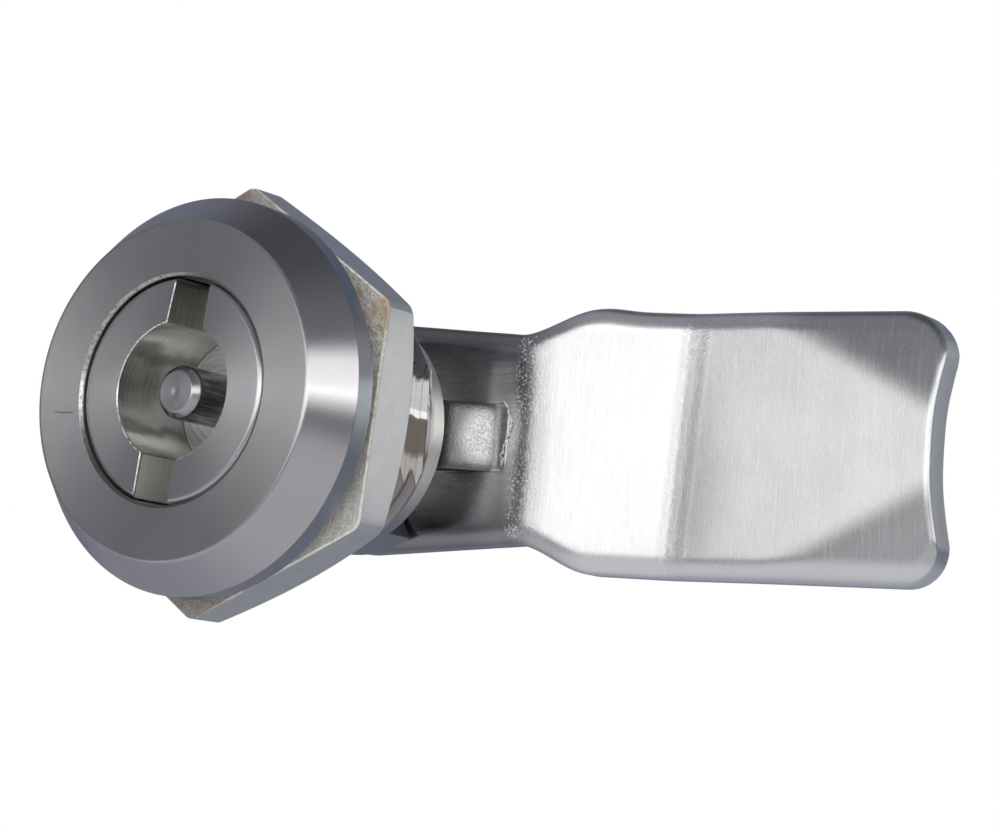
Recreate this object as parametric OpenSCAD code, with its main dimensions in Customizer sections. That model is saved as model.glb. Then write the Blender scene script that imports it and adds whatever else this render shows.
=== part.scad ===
// Quarter-turn twist lock: a round flanged body holds a panel, a key turns the insert and its bent cam.
// The lock's axis is Y, with the key face towards -Y and the cam reaching along +X.
// The origin is on the axis, at the flange's back face, where the panel seats.

/* [Flange] */
// Diameter of the flange at its rim
flange_d = 28; // [26:0.5:34]
// Diameter of the flat front face, inside the cone
face_d = 23.8; // [20:0.1:25]
// Thickness of the flange
flange_t = 4.6; // [3.5:0.1:7]
// Length of the straight rim behind the cone
rim_t = 1.7; // [0.8:0.1:3]
// Chamfer at the mouth of the bore
mouth_chamfer = 0.35; // [0.1:0.05:0.6]

/* [Barrel] */
// Outer diameter of the thread
thread_d = 20; // [19.4:0.1:21.5]
// Length of the threaded stretch behind the flange
thread_len = 13.3; // [11:0.1:14]
// Distance over the two milled flats
flats_af = 18; // [17.9:0.1:19.2]
// Diameter of the turned end
end_d = 17.8; // [17:0.1:17.9]
// Length of the barrel to the end of its stop wall
wall_len = 18.5; // [17.5:0.1:21]
// Depth of the stop notch in the barrel's end
notch_depth = 2.8; // [2.6:0.1:3.4]
// Place of the lower stop, in degrees from the cam's direction in the photo pose
stop_angle = -58; // [-70:1:-50]
// Quarter turn between the stops, in degrees
travel = 90; // [60:5:100]
// Depth of the driver's seat behind the flange's back
seat_depth = 6.5; // [5.5:0.1:8]

/* [Panel nut] */
// Distance from the flange's rim in to the nut's flats
nut_inset = 0.6; // [0.3:0.1:1.5]
// Thickness of the nut
nut_t = 4; // [3:0.1:5]
// Gap between flange and nut
nut_gap = 1.1; // [0.5:0.1:4]
// Turn of the nut, in degrees
nut_angle = -4; // [-30:1:30]
// Slope of the chamfer at the back of the nut, in degrees
nut_slope = 30; // [15:1:35]
// Chamfer at the two ends of the nut's thread
nut_mouth = 0.5; // [0.2:0.1:0.8]

/* [Driver] */
// Diameter of the driver's head
driver_d = 15.9; // [15.4:0.1:16.2]
// Depth of the driver's face below the flange's face
face_recess = 0.2; // [0.1:0.05:0.6]
// Chamfer round the driver's face
face_chamfer = 0.25; // [0.1:0.05:0.4]
// Diameter of the key socket
socket_d = 9.7; // [8.5:0.1:10.5]
// Depth of the key socket and its cross slot
socket_depth = 7.3; // [5:0.1:7.6]
// Width of the cross slot
slot_w = 3.2; // [2.4:0.1:4]
// Lean of the cross slot from upright, in degrees
slot_angle = 8; // [0:1:20]
// Diameter of the journal behind the head
journal_d = 12; // [11.6:0.1:12.6]
// Width of the square that carries the cam
square_af = 8; // [7.5:0.1:8.4]
// Diameter over the turned corners of the square
square_d = 10.8; // [10.2:0.1:11]
// Depth of the tapped hole
tap_depth = 10; // [9:0.5:10.5]
// Width of the ring groove
groove_w = 1.9; // [1.7:0.1:2.2]
// Depth of the ring groove
groove_depth = 1.35; // [1.1:0.05:1.5]
// Distance from the ring groove to the end of the head
groove_land = 1.2; // [0.8:0.1:1.6]

/* [Socket pin] */
// Diameter of the pin
pin_d = 3.8; // [3.5:0.1:4.4]
// Diameter of the flat at the pin's tip
pin_tip_d = 2.6; // [1.6:0.1:2.8]
// Length of the pin's coned tip
pin_tip_len = 0.7; // [0.4:0.1:1.2]
// Depth of the pin's tip below the driver's face
pin_recess = 0.5; // [0.2:0.1:1.5]
// Diameter of the stem that is pressed into the driver
pin_stem_d = 3.2; // [2.4:0.1:3.4]
// Height of the relief under the pin, above the socket's floor
pin_relief = 0.3; // [0.2:0.1:0.6]
// Length of the stem inside the driver
pin_embed = 5; // [4:0.1:6]

/* [Cam] */
// Thickness of the cam's plate
cam_t = 2.5; // [2:0.1:3]
// Distance from the axis to the cam's tip
cam_reach = 44.9; // [40:0.1:52]
// Width of the cam at its root
root_w = 17.3; // [16.6:0.1:18.5]
// Width of the neck where it is narrowest
neck_w = 15.4; // [14:0.1:16]
// Width of the head
head_w = 19.2; // [17:0.1:22]
// Distance from the axis to the neck's narrowest place
neck_x = 13.2; // [12:0.1:14]
// Distance from the axis to the full width of the head
shoulder_x = 18.8; // [17:0.1:20]
// Distance from the axis to the first bend
bend_x = 14.3; // [13.8:0.1:15]
// Distance from the axis to the second bend
crease_x = 24.5; // [21:0.1:26]
// Step between the neck and the head, away from the flange
cam_step = 3.5; // [1:0.1:6]
// Radius of the tip's corners
tip_r = 3; // [1:0.1:4]
// Depth of the shallow hollow in the tip's edge
tip_hollow = 0.5; // [0.2:0.05:1.2]
// Length of a lead-in ramp along the side of the head
ramp_len = 13.5; // [8:0.1:16]
// Half width left flat at the tip, between the ramps
ramp_gap = 2.7; // [1:0.1:5]
// Slope of the lead-in ramps, in degrees
ramp_slope = 12; // [6:1:20]

/* [Stop tab] */
// Width of the lanced tab
tab_w = 5; // [4:0.1:5.6]
// Distance from the axis to the tab's root
tab_root_x = 11.9; // [10.4:0.1:12]
// Distance from the axis to the tab's free end
tab_end_x = 6.8; // [6.6:0.1:7.4]
// Height of the tab's free end above the plate
tab_rise = 2.2; // [1.8:0.1:2.4]

/* [Cam fasteners] */
// Diameter of the bolt's shank
bolt_d = 6; // [5:0.1:6]
// Length of the bolt under its head
bolt_len = 12; // [9:0.5:12]
// Distance over the flats of the bolt's head
bolt_af = 10; // [8:0.5:11]
// Height of the bolt's head
bolt_head = 4; // [3:0.1:5]
// Outer diameter of the flat washer
washer_d = 14; // [12:0.5:16]
// Thickness of the flat washer
washer_t = 1.6; // [1:0.1:2]
// Outer diameter of the spring washer
spring_d = 11.8; // [10:0.1:12]
// Thickness of the spring washer
spring_t = 1.6; // [1:0.1:2]
// Width of the split in the spring washer
spring_split = 1; // [0.5:0.1:1.5]
// Lean of the split in the spring washer, in degrees
split_lean = 20; // [0:1:30]

/* [Fits] */
// Radial clearance of the driver in the housing
run_fit = 0.05; // [0.02:0.01:0.1]
// Radial clearance of the nut on the barrel
thread_fit = 0.05; // [0.02:0.01:0.1]
// Radial clearance of the pin and the bolt in the driver
press_fit = 0.01; // [0.01:0.01:0.02]
// Clearance of the ring in its groove and in the bore
seal_fit = 0.02; // [0.01:0.01:0.05]
// End play of the driver on its seat
end_play = 0.05; // [0.02:0.01:0.2]
// Gap between the stop wall and the cam
cam_gap = 0.4; // [0.2:0.05:0.8]
// Clearance of the square in the cam, on each side
square_fit = 0.05; // [0.02:0.01:0.15]
// Clearance round the lanced tab in its window
tab_fit = 0.15; // [0.05:0.05:0.3]
// Depth of the square's end below the back of the cam
clamp_play = 0.2; // [0.1:0.05:0.5]
// Radial clearance of the washers on the bolt
washer_fit = 0.2; // [0.1:0.05:0.4]
// Clearance of the tab at each stop, in degrees
stop_fit = 0.8; // [0.4:0.1:2]

/* [Hidden] */
$fn = 96;
steel = "silver";
over = 1;
far = 100;
hex_turn = 30;

// The driver's head is the size that the bore follows.
bore_r = driver_d / 2 + run_fit;
journal_bore_r = journal_d / 2 + run_fit;
thread_r = thread_d / 2;
end_r = end_d / 2;
end_cone = thread_r - end_r;
face_y = -flange_t + face_recess;
head_end_y = seat_depth - end_play;
notch_y = wall_len - notch_depth;
nut_af = flange_d - 2 * nut_inset;

// The lanced tab meets the stops with its free inner corner.
tab_half_angle = atan2(tab_w / 2, tab_end_x);
notch_turn = travel + 2 * tab_half_angle + 2 * stop_fit;

// Places along the axis, from the cam backwards.
cam_y = wall_len + cam_gap;
cam_back_y = cam_y + cam_t;
shank_end_y = cam_back_y - clamp_play;
spring_y = cam_back_y + washer_t;
bolt_seat_y = spring_y + spring_t;

// Cross slot, groove and pin of the driver.
socket_floor_y = face_y + socket_depth;
groove_end_y = head_end_y - groove_land;
groove_r = driver_d / 2 - groove_depth;
ring_d = bore_r - groove_r - 2 * seal_fit;
ring_y = groove_end_y - groove_w / 2;
pin_tip_y = face_y + pin_recess;
pin_end_y = socket_floor_y + pin_embed;
washer_hole_r = bolt_d / 2 + washer_fit;

// The cam's outline: a round root, soft shoulders, round tip corners and a shallow hollow tip edge.
curve_steps = 10;
root_steps = 24;
root_r = root_w / 2;
tip_corner_z = head_w / 2 - tip_r;
neck_taper = atan2(root_r - neck_w / 2, neck_x);

function root_point(share) = [
    root_r * sin((90 + neck_taper) * share - 90),
    root_r * cos((90 + neck_taper) * share - 90)
];
function shoulder_point(share) = [
    neck_x + (shoulder_x - neck_x) * share,
    (neck_w + (head_w - neck_w) * (1 - cos(180 * share)) / 2) / 2
];
function corner_point(share) = [
    cam_reach - tip_r + tip_r * sin(90 * share),
    tip_corner_z + tip_r * cos(90 * share)
];
function tip_point(share) = [
    cam_reach - tip_hollow * (1 - pow(1 - share, 2)),
    tip_corner_z * (1 - share)
];

cam_side = concat(
    [for (i = [0 : root_steps]) root_point(i / root_steps)],
    [for (i = [0 : curve_steps]) shoulder_point(i / curve_steps)],
    [for (i = [0 : curve_steps]) corner_point(i / curve_steps)],
    [for (i = [1 : curve_steps]) tip_point(i / curve_steps)]
);
cam_other_side = [for (i = [len(cam_side) - 2 : -1 : 1]) [cam_side[i][0], -cam_side[i][1]]];

// The cam's bends and its two lead-in creases, which run from the side of the head to the tip.
head_y = cam_y + cam_step;
step_slope = atan2(cam_step, crease_x - bend_x);
ramp_x = cam_reach - ramp_len;
ramp_turn = atan2(head_w / 2 - ramp_gap, ramp_len);

// Turns what is drawn upright so that it lies along the lock's axis, from the flange backwards.
module along_axis(y = 0) {
    translate([0, y, 0])
        rotate([-90, 0, 0])
            children();
}

// A solid of revolution about the lock's axis, from points of radius and place.
module turned(points) {
    along_axis()
        rotate_extrude()
            polygon(points);
}

module disc(r, y, length) {
    along_axis(y)
        cylinder(r = r, h = length);
}

// A hexagon bar whose end away from the flange is coned off.
module chamfered_hex(af, length, slope) {
    corner_r = af / sqrt(3);
    cone = (corner_r - af / 2) * tan(slope);
    intersection() {
        cylinder(r = corner_r, h = length, $fn = 6);
        rotate_extrude()
            polygon([[0, 0], [corner_r, 0], [corner_r, length - cone], [af / 2, length], [0, length]]);
    }
}

module housing() {
    color(steel)
        difference() {
            turned([
                [bore_r + mouth_chamfer, -flange_t], [face_d / 2, -flange_t], [flange_d / 2, -rim_t],
                [flange_d / 2, 0], [thread_r, 0], [thread_r, thread_len],
                [end_r, thread_len + end_cone], [end_r, wall_len], [journal_bore_r, wall_len],
                [journal_bore_r, seat_depth], [bore_r, seat_depth], [bore_r, -flange_t + mouth_chamfer]
            ]);
            for (side = [0, 180])
                rotate([0, side, 0])
                    translate([flats_af / 2, 0, -far / 2])
                        cube([far, wall_len + over, far]);
            stop_notch();
        }
}

// The gap in the barrel's end wall where the cam's tab swings between its stops.
module stop_notch() {
    along_axis(notch_y)
        rotate(-stop_angle - notch_turn)
            rotate_extrude(angle = notch_turn)
                square([thread_r + over, notch_depth + over]);
}

module hex_nut() {
    nut_bore_r = thread_r + thread_fit;
    color(steel)
        along_axis(nut_gap)
            difference() {
                rotate(hex_turn - nut_angle)
                    chamfered_hex(nut_af, nut_t, nut_slope);
                rotate_extrude()
                    polygon([
                        [0, -over], [nut_bore_r + nut_mouth + over, -over],
                        [nut_bore_r, nut_mouth], [nut_bore_r, nut_t - nut_mouth],
                        [nut_bore_r + nut_mouth + over, nut_t + over], [0, nut_t + over]
                    ]);
            }
}

module driver() {
    color(steel)
        difference() {
            union() {
                driver_head();
                disc(journal_d / 2, head_end_y - over, cam_y - head_end_y + over);
                intersection() {
                    translate([-square_af / 2, cam_y - over, -square_af / 2])
                        cube([square_af, shank_end_y - cam_y + over, square_af]);
                    disc(square_d / 2, cam_y - over, shank_end_y - cam_y + over);
                }
            }
            key_socket();
            disc(pin_stem_d / 2 + press_fit, face_y, pin_end_y - face_y);
            disc(bolt_d / 2 + press_fit, shank_end_y - tap_depth, tap_depth + over);
        }
}

module driver_head() {
    head_r = driver_d / 2;
    turned([
        [0, face_y], [head_r - face_chamfer, face_y], [head_r, face_y + face_chamfer],
        [head_r, groove_end_y - groove_w], [groove_r, groove_end_y - groove_w],
        [groove_r, groove_end_y], [head_r, groove_end_y], [head_r, head_end_y], [0, head_end_y]
    ]);
}

// Round socket and full-width cross slot, both open at the face.
module key_socket() {
    disc(socket_d / 2, face_y - over, socket_depth + over);
    rotate([0, slot_angle, 0])
        translate([-slot_w / 2, face_y - over, -driver_d / 2 - over])
            cube([slot_w, socket_depth + over, driver_d + 2 * over]);
}

module socket_pin() {
    color(steel)
        turned([
            [0, pin_tip_y], [pin_tip_d / 2, pin_tip_y], [pin_d / 2, pin_tip_y + pin_tip_len],
            [pin_d / 2, socket_floor_y - pin_relief], [pin_stem_d / 2, socket_floor_y - pin_relief],
            [pin_stem_d / 2, pin_end_y], [0, pin_end_y]
        ]);
}

module driver_o_ring() {
    color("dimgray")
        along_axis(ring_y)
            rotate_extrude()
                translate([groove_r + seal_fit + ring_d / 2, 0])
                    circle(d = ring_d);
}

module cam() {
    color(steel)
        difference() {
            union() {
                difference() {
                    bent_plate();
                    tab_window();
                }
                stop_tab();
            }
            square_hole();
        }
}

// The stamped outline, kept between the bent front surface and the same surface one plate further back.
module bent_plate() {
    difference() {
        intersection() {
            along_axis(cam_y - over)
                linear_extrude(far)
                    polygon(concat(cam_side, cam_other_side));
            behind_surface(0);
        }
        behind_surface(cam_t);
    }
}

// All the space behind the cam's front surface, set back by a depth that keeps the plate's thickness.
module behind_surface(depth) {
    shift = depth * tan(step_slope / 2);
    difference() {
        translate([0, 0, -far])
            linear_extrude(2 * far)
                polygon([
                    [-far, cam_y + depth], [bend_x - shift, cam_y + depth],
                    [crease_x - shift, head_y + depth], [far, head_y + depth],
                    [far, 2 * far], [-far, 2 * far]
                ]);
        for (side = [-1, 1])
            ramp_cut(side, depth);
    }
}

// Everything in front of one lead-in ramp, which leans back from its crease.
module ramp_cut(side, depth) {
    translate([ramp_x, head_y + depth, side * head_w / 2])
        rotate([0, side * ramp_turn, 0])
            translate([0, 0, -side * depth * tan(ramp_slope / 2)])
                rotate([-side * ramp_slope, 0, 0])
                    translate([-far / 2, -far / 2, side > 0 ? -over : over - far])
                        cube([far, far / 2, far]);
}

module square_hole() {
    hole = square_af + 2 * square_fit;
    intersection() {
        translate([-hole / 2, cam_y - over, -hole / 2])
            cube([hole, cam_t + 2 * over, hole]);
        disc(square_d / 2 + square_fit, cam_y - over, cam_t + 2 * over);
    }
}

// The window left in the neck where the tab was sheared out.
module tab_window() {
    translate([tab_end_x - tab_fit, cam_y - over, -tab_w / 2 - tab_fit])
        cube([tab_root_x - tab_end_x + tab_fit, cam_t + 2 * over, tab_w + 2 * tab_fit]);
}

// The sheared tongue, bent up towards the flange about its root.
module stop_tab() {
    lift = atan2(tab_rise, tab_root_x - tab_end_x);
    translate([0, 0, -tab_w / 2])
        linear_extrude(tab_w)
            polygon([
                [tab_root_x + over, cam_y], [tab_root_x, cam_y], [tab_end_x, cam_y - tab_rise],
                [tab_end_x, cam_y - tab_rise + cam_t * cos(lift)],
                [tab_root_x - cam_t * tan(lift / 2), cam_back_y], [tab_root_x + over, cam_back_y]
            ]);
}

module flat_washer() {
    color(steel)
        along_axis(cam_back_y)
            difference() {
                cylinder(d = washer_d, h = washer_t);
                translate([0, 0, -over])
                    cylinder(r = washer_hole_r, h = washer_t + 2 * over);
            }
}

module spring_washer() {
    color(steel)
        along_axis(spring_y)
            difference() {
                cylinder(d = spring_d, h = spring_t);
                translate([0, 0, -over])
                    cylinder(r = washer_hole_r, h = spring_t + 2 * over);
                translate([0, 0, spring_t / 2])
                    rotate([split_lean, 0, 0])
                        translate([0, -spring_split / 2, -far / 2])
                            cube([far, spring_split, far]);
            }
}

module cam_bolt() {
    color(steel) {
        along_axis(bolt_seat_y)
            rotate(hex_turn)
                chamfered_hex(bolt_af, bolt_head, nut_slope);
        disc(bolt_d / 2, bolt_seat_y - bolt_len, bolt_len + over);
    }
}

housing();
hex_nut();
driver();
socket_pin();
driver_o_ring();
cam();
flat_washer();
spring_washer();
cam_bolt();
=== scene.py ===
import math
import bmesh
import bpy
from mathutils import Matrix, Vector, noise


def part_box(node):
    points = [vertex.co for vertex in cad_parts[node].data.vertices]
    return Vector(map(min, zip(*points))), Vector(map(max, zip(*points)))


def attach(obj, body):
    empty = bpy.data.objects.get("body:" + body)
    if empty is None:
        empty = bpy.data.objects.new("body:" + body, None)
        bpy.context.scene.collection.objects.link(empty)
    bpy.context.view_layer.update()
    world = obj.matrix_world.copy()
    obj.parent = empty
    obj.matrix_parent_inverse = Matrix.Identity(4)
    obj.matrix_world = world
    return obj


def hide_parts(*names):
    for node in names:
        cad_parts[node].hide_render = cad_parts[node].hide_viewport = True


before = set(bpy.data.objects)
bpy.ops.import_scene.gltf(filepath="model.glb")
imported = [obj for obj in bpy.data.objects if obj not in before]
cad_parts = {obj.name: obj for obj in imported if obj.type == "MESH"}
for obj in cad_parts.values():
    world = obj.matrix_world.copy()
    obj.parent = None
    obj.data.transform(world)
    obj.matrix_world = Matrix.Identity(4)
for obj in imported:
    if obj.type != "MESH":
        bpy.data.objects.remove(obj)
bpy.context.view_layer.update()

scene = bpy.context.scene
scene.view_settings.view_transform = "Standard"
mm = 0.001  # pieces are drawn in millimetres and stored in metres
inDegrees = 57.3  # one radian


def nodeSpan(name):  # a CAD node's lowest and highest corner, in millimetres
    low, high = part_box(name)
    return Vector(low) / mm, Vector(high) / mm


# Wraps a shader socket so that expressions add their own Math nodes
class Tap:
    def __init__(self, shop, socket):
        self.shop = shop
        self.socket = socket

    def __add__(self, other):
        return self.shop.math("ADD", self, other)

    def __radd__(self, other):
        return self.shop.math("ADD", other, self)

    def __sub__(self, other):
        return self.shop.math("SUBTRACT", self, other)

    def __rsub__(self, other):
        return self.shop.math("SUBTRACT", other, self)

    def __mul__(self, other):
        return self.shop.math("MULTIPLY", self, other)

    def __rmul__(self, other):
        return self.shop.math("MULTIPLY", other, self)

    def __truediv__(self, other):
        return self.shop.math("DIVIDE", self, other)

    def __pow__(self, other):
        return self.shop.math("POWER", self, other)


# Adds nodes to one node tree
class Shop:
    def __init__(self, tree):
        self.tree = tree
        tree.nodes.clear()

    def node(self, kind, settings=None, sockets=None, out=0):
        made = self.tree.nodes.new(kind)
        for key, value in (settings or {}).items():
            setattr(made, key, value)
        for key, value in (sockets or {}).items():
            if isinstance(value, Tap):
                self.tree.links.new(value.socket, made.inputs[key])
            else:
                made.inputs[key].default_value = value
        return Tap(self, made.outputs[out]) if made.outputs else made

    def math(self, operation, first, second=0.0):
        return self.node("ShaderNodeMath", {"operation": operation}, {0: first, 1: second})

    def ramp(self, value, low, high, start=0.0, end=1.0):  # soft step from start to end
        return self.node("ShaderNodeMapRange", {"interpolation_type": "SMOOTHSTEP"},
                         {"Value": value, "From Min": low, "From Max": high, "To Min": start, "To Max": end})

    def blend(self, amount, first, second):  # colours
        return self.node("ShaderNodeMix", {"data_type": "RGBA"}, {0: amount, 6: first, 7: second}, 2)

    def place(self):  # x, y and z of the surface in millimetres, on the piece itself
        spot = self.node("ShaderNodeTexCoord", out=3)
        parts = self.node("ShaderNodeSeparateXYZ", sockets={0: spot})
        outs = parts.socket.node.outputs
        return [Tap(self, out) / mm for out in outs]

    def vector(self, x, y, z):
        return self.node("ShaderNodeCombineXYZ", sockets={0: x, 1: y, 2: z})

    def grain(self, where, scale, detail=2.0, roughness=0.5):
        return self.node("ShaderNodeTexNoise", {"noise_dimensions": "3D"},
                         {"Vector": where, "Scale": scale, "Detail": detail, "Roughness": roughness})

    def lines(self, along, scale, detail=2.0):  # uneven lines across one direction
        return self.node("ShaderNodeTexNoise", {"noise_dimensions": "1D"},
                         {"W": along, "Scale": scale, "Detail": detail, "Roughness": 0.6})

    def bump(self, height, depth, strength=1.0, under=None):
        sockets = {"Height": height, "Distance": depth * mm, "Strength": strength}
        if under:
            sockets["Normal"] = under
        return self.node("ShaderNodeBump", sockets=sockets)

    def metal(self, colour, roughness, normal, metallic=1.0, fixed=None):
        sockets = {"Base Color": colour, "Roughness": roughness, "Metallic": metallic, "Normal": normal}
        sockets.update(fixed or {})
        shader = self.node("ShaderNodeBsdfPrincipled", sockets=sockets)
        self.node("ShaderNodeOutputMaterial", sockets={"Surface": shader})

    def within(self, value, low, high, soft):  # one between two values, with soft ends
        return self.ramp(value, low - soft, low) * (1 - self.ramp(value, high, high + soft))


def newFinish(name):
    finish = bpy.data.materials.new(name)
    finish.use_nodes = True
    return finish, Shop(finish.node_tree)


# A zone in these looks is where it starts, where it ends and, third, how soft its ends are
turnedLook = {
    "pale": (0.63, 0.615, 0.635, 1), "dark": (0.54, 0.53, 0.555, 1), "roughness": 0.24, "spread": 0.06,
    "lineScale": 7, "lineDepth": 0.0008, "streak": {"Anisotropic": 0.75, "Anisotropic Rotation": 0.25},
}


pinLook = {
    "pale": (0.6, 0.61, 0.64, 1), "dark": (0.48, 0.48, 0.5, 1), "roughness": 0.26, "spread": 0.08,
    "lineScale": 5, "lineDepth": 0.0012, "streak": {"Anisotropic": 0.3, "Anisotropic Rotation": 0.25},
    "paintedSideShade": (0.28, 0.28, 0.28, 1), "sidePale": (0.62, 0.62, 0.61, 1),
}


# Tool marks of a lathe; a turned piece lies along its own z, so the steel's streaks run round it
def turnedSteel(name, look, special):
    finish, shop = newFinish(name)
    x, z, y = shop.place()
    radius = (x * x + z * z) ** 0.5
    where = shop.vector(x, y, z)
    fine = shop.lines(radius + y * 1.3, look["lineScale"], 3)
    cloud = shop.grain(where, 0.3, 3)
    wear = shop.grain(where, 1.6, 4, 0.6)
    fleck = shop.grain(where, 6, 2, 0.7)
    colour = shop.blend(0.35 * cloud + 0.3 * fine + 0.35 * fleck, look["dark"], look["pale"])
    roughness = look["roughness"] + look["spread"] * (cloud + wear - 1)
    height = fine + 0.6 * fleck
    colour, roughness, height, metallic = special(shop, (x, y, z, radius, where), colour, roughness, height)
    shop.metal(colour, roughness, shop.bump(height, look["lineDepth"]), metallic, look["streak"])
    return finish


barrelLook = {
    "flatX": 8.94, "start": 0.4, "flatEnd": 13.45, "bandStart": 13.9, "groove": (0.34, 0.31, 0.28, 1),
    "band": (0.95, 0.94, 0.9, 1), "paintedHighlight": (0.92, 0.93, 0.93, 1), "reflectedBrown": (0.14, 0.12, 0.105, 1),
    "grey": (0.42, 0.4, 0.38, 1), "pale": (0.56, 0.57, 0.57, 1), "reflectedDark": (0.05, 0.045, 0.04, 1),
    "rim": (0.36, 0.38, 0.42, 1), "rimStart": -1.75, "rimR": 13.95, "crest": (0.36, 0.35, 0.34, 1),
    "paintedFaceLight": (0.85, 0.84, 0.86, 1), "paintedFaceShade": (0.4, 0.39, 0.4, 1),
    "scratch": (0.12, 0.12, 0.14, 1), "lipDark": (0.3, 0.29, 0.28, 1), "lipPale": (0.74, 0.73, 0.7, 1),
    "grooveR": (9.95, 9.65), "reflectedPaleZone": (1.0, 3.2, 0.3), "reflectedDarkZone": (3.0, 3.6), "reflectedBrownZone": (-1.8, 0.2, 0.8),
    "reflectedHighlightZone": (0.55, 0.95, 0.15), "lipR": (8.22, 8.19), "lipY": (-4.4, -4.3), "asideZone": (4.5, 8.0),
    "scratchX": (-10.1, -8.7, 0.25), "scratchRise": (1.53, 1.58, 0.05), "scratchY": (-4.5, -4.4),
    "faceY": (-4.58, -4.5), "paintedFaceLightX": (-6, -12), "paintedFaceShadeX": (5, 11),
}


def barrelParts(shop, place, colour, roughness, height):  # painted shade on the rim, painted reflections on the polished flats, a thread painted dark as shade, a satin end band with painted light and shade
    b = barrelLook
    x, y, minusZ, radius, where = place
    onBarrel = shop.within(y, b["start"], b["flatEnd"], 0.1)
    polished = onBarrel * shop.ramp(shop.math("ABSOLUTE", x), b["flatX"], b["flatX"] + 0.04)
    groove = onBarrel * shop.ramp(radius, *b["grooveR"]) * (1 - polished)
    band = shop.ramp(y, b["bandStart"], b["bandStart"] + 0.2)
    bandWobble = shop.grain(shop.vector(x, y * 0.7, minusZ * 0.5), 1.2, 4, 0.6)
    upward = 1.5 * (bandWobble - 0.5) - minusZ  # wavy height on the flat, for its painted reflection bands
    # painted reflection on the polished flat: grey, pale, dark, brown and highlight bands by height, and
    # brown streaks across it
    paintedReflection = shop.blend(shop.within(upward, *b["reflectedPaleZone"]), b["grey"], b["pale"])
    paintedReflection = shop.blend(shop.ramp(upward, *b["reflectedDarkZone"]), paintedReflection, b["reflectedDark"])
    paintedReflection = shop.blend(shop.within(upward, *b["reflectedBrownZone"]), paintedReflection, b["reflectedBrown"])
    paintedReflection = shop.blend(shop.within(upward, *b["reflectedHighlightZone"]), paintedReflection, b["paintedHighlight"])
    paintedReflection = shop.blend(0.35 * shop.ramp(shop.lines(y, 2.2, 3), 0.56, 0.68), paintedReflection, b["reflectedBrown"])
    paintedShade = shop.ramp(radius, b["rimR"] - 0.05, b["rimR"]) * shop.ramp(y, b["rimStart"], b["rimStart"] + 0.1)
    bowed = minusZ + 0.1 * (x + 9.3) * (x + 9.3)  # a short bowed scratch on the face
    lip = shop.ramp(radius, *b["lipR"]) * (1 - shop.ramp(y, *b["lipY"]))  # the bore's chamfer is left rough
    upperLeft = shop.ramp(x * 0.8 + minusZ * 0.6, -1.5, -6.0)  # where the chamfer is painted lighter, as light on its upper left
    ragged = upperLeft * shop.ramp(shop.grain(where, 4.5, 3, 0.7), 0.34, 0.56)
    colour = shop.blend(lip, colour, shop.blend(ragged, b["lipDark"], b["lipPale"]))
    scratch = shop.within(x, *b["scratchX"]) * shop.within(bowed, *b["scratchRise"])
    colour = shop.blend(scratch * (1 - shop.ramp(y, *b["scratchY"])), colour, b["scratch"])
    # painted shade: the flange's rim is painted dark blue-grey
    colour = shop.blend(paintedShade, colour, b["rim"])
    # painted light and shade on the end band: pale in its middle, the rim's dark blue-grey towards top and
    # bottom
    aside = shop.ramp(shop.math("ABSOLUTE", minusZ + 1.0), *b["asideZone"])
    colour = shop.blend(band, colour, shop.blend(aside, b["band"], b["rim"]))
    # painted shade: the thread is painted dark, its grooves darker still
    colour = shop.blend(onBarrel, colour, b["crest"])
    colour = shop.blend(groove, colour, b["groove"])
    colour = shop.blend(polished, colour, paintedReflection)
    onFace = 1 - shop.ramp(y, *b["faceY"])
    # painted light on the face's left side, painted shade on its right and lower right
    colour = shop.blend(0.4 * onFace * shop.ramp(x, *b["paintedFaceLightX"]), colour, b["paintedFaceLight"])
    colour = shop.blend(0.4 * onFace * shop.ramp(x + 0.4 * minusZ, *b["paintedFaceShadeX"]), colour, b["paintedFaceShade"])
    satin = shop.grain(where, 5, 3)
    roughness = roughness + band * (0.16 + 0.1 * (satin - 0.5)) - polished * 0.12 + 0.15 * lip
    return colour, roughness, height * (1 - polished) + 0.5 * band * satin, 1.0


def pinParts(shop, place, colour, roughness, height):  # the side is painted dark as shade, with streaks along it
    x, y, z, radius, where = place
    side = shop.ramp(y, driverLow.y + 1.15, driverLow.y + 1.3)
    streaks = shop.ramp(shop.grain(shop.vector(x * 3, y * 0.3, z * 3), 1.3, 3), 0.42, 0.66)
    sideColour = shop.blend(streaks, pinLook["paintedSideShade"], pinLook["sidePale"])
    colour = shop.blend(side, colour, sideColour)
    return colour, roughness - 0.08 * side, height, 1.0


socketLook = {
    "floorY": 2.9, "warm": (0.95, 0.94, 0.9, 1), "wearAndSheen": (0.58, 0.57, 0.53, 1), "paintedShade": (0.2, 0.195, 0.18, 1),
    "floor": (0.98, 0.97, 0.96, 1), "floorDark": (0.72, 0.71, 0.7, 1),
    "glint": (0.99, 0.98, 0.95, 1), "roughness": 0.16, "slotR": (4.87, 4.95), "edgeR": (7.5, 7.4),
    "upperGlint": (51, 58, 9), "lowerGlint": (-45, -40, 8), "sideGlint": (-17, -3, 11), "sideY": (-4.0, -2.0),
    "upperDim": (36, 40, 9), "lowerDim": (-29, -26, 7), "bottomDim": (-53, -63), "wallY": (-0.4, 2.6),
    "footY": (2.5, 2.75),
}


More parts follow.
